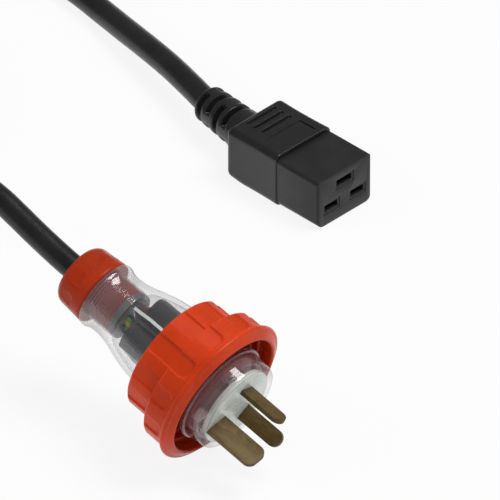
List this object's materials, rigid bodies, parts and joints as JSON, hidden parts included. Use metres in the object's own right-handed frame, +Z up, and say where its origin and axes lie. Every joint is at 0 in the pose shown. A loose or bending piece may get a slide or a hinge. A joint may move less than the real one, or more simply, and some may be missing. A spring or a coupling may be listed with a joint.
{
  "type": "power connector lead",
  "caption": "Black moulded high-current appliance connector on a round black cord that ends in a clear-bodied, weatherproof flat-pin mains plug with an orange locking ring.",
  "frame": {"origin": "middle of the appliance connector's footprint, on the surface it rests on", "axes": "+Z up; +Y from the connector's mating face to its strain relief, so the mating face looks along -Y; +X to the right seen from behind the connector"},
  "size_m": [0.1958, 0.3401, 0.0674],
  "materials": {
    "contact_block": "moulded PVC, satin",
    "connector_body": "moulded PVC, fine grain",
    "contact_metal": "tin-free stamped brass",
    "bridge_white": "moulded nylon",
    "core_brown": "extruded PVC",
    "core_blue": "extruded PVC",
    "core_green": "extruded PVC, green with a yellow stripe",
    "cord_sheath": "extruded sheath, faintly lined along its length",
    "tie_black": "woven hook-and-loop strip",
    "nut_orange": "moulded polycarbonate",
    "ring_orange": "moulded polycarbonate, semi-gloss",
    "washer_white": "moulded nylon",
    "seal_grey": "moulded rubber, pale grey",
    "seal_black": "moulded rubber",
    "shell_clear": "clear polycarbonate",
    "carrier_white": "moulded, palely green",
    "terminal_dark": "moulded phenolic",
    "pin_brass": "dull drawn brass",
    "screw_steel": "zinc-plated steel"
  },
  "bodies": {
    "lead_set": {"contact_carrier": "contact_block", "line_contact": "contact_metal", "neutral_contact": "contact_metal", "earth_contact": "contact_metal", "contact_bridge": "bridge_white", "overmould": "connector_body", "line_core": "core_brown", "neutral_core": "core_blue", "earth_core": "core_green", "lead_front": "cord_sheath", "cord_coil": "cord_sheath", "coil_tie": "tie_black", "lead_rear": "cord_sheath", "gland_seal": "seal_grey", "rear_shell": "shell_clear", "front_shell": "shell_clear", "shell_gasket": "seal_black", "face_plate": "carrier_white", "pin_carrier": "carrier_white", "terminal_block": "terminal_dark", "terminal_barrier": "carrier_white", "plug_earth_pin": "pin_brass", "plug_line_pin": "pin_brass", "plug_neutral_pin": "pin_brass", "terminal_screws": "screw_steel", "carrier_screws": "screw_steel", "plug_earth_core": "core_green", "plug_line_core": "core_brown", "plug_neutral_core": "core_blue"},
    "locking_ring": {"locking_ring": "ring_orange"},
    "gland_washer": {"gland_washer": "washer_white"},
    "gland_nut": {"gland_nut": "nut_orange"}
  },
  "joints": [
    {"name": "ring_turn", "type": "hinge", "parent": "lead_set", "child": "locking_ring", "pos_m": [-0.1326, -0.1147, 0.02475], "axis": [0.05, -0.955, -0.2924], "continuous": true},
    {"name": "gland_slide", "type": "slide", "parent": "lead_set", "child": "gland_washer", "axis": [-0.05, 0.955, 0.2924], "range_m": [0, 0.006]},
    {"name": "nut_turn", "type": "hinge", "parent": "gland_washer", "child": "gland_nut", "pos_m": [-0.1326, -0.1147, 0.02475], "axis": [-0.05, 0.955, 0.2924], "range_deg": [0, 1080]}
  ],
  "couplings": [
    {"joint": "gland_slide", "follows": "nut_turn", "m_per_rad": 0.0003183}
  ]
}
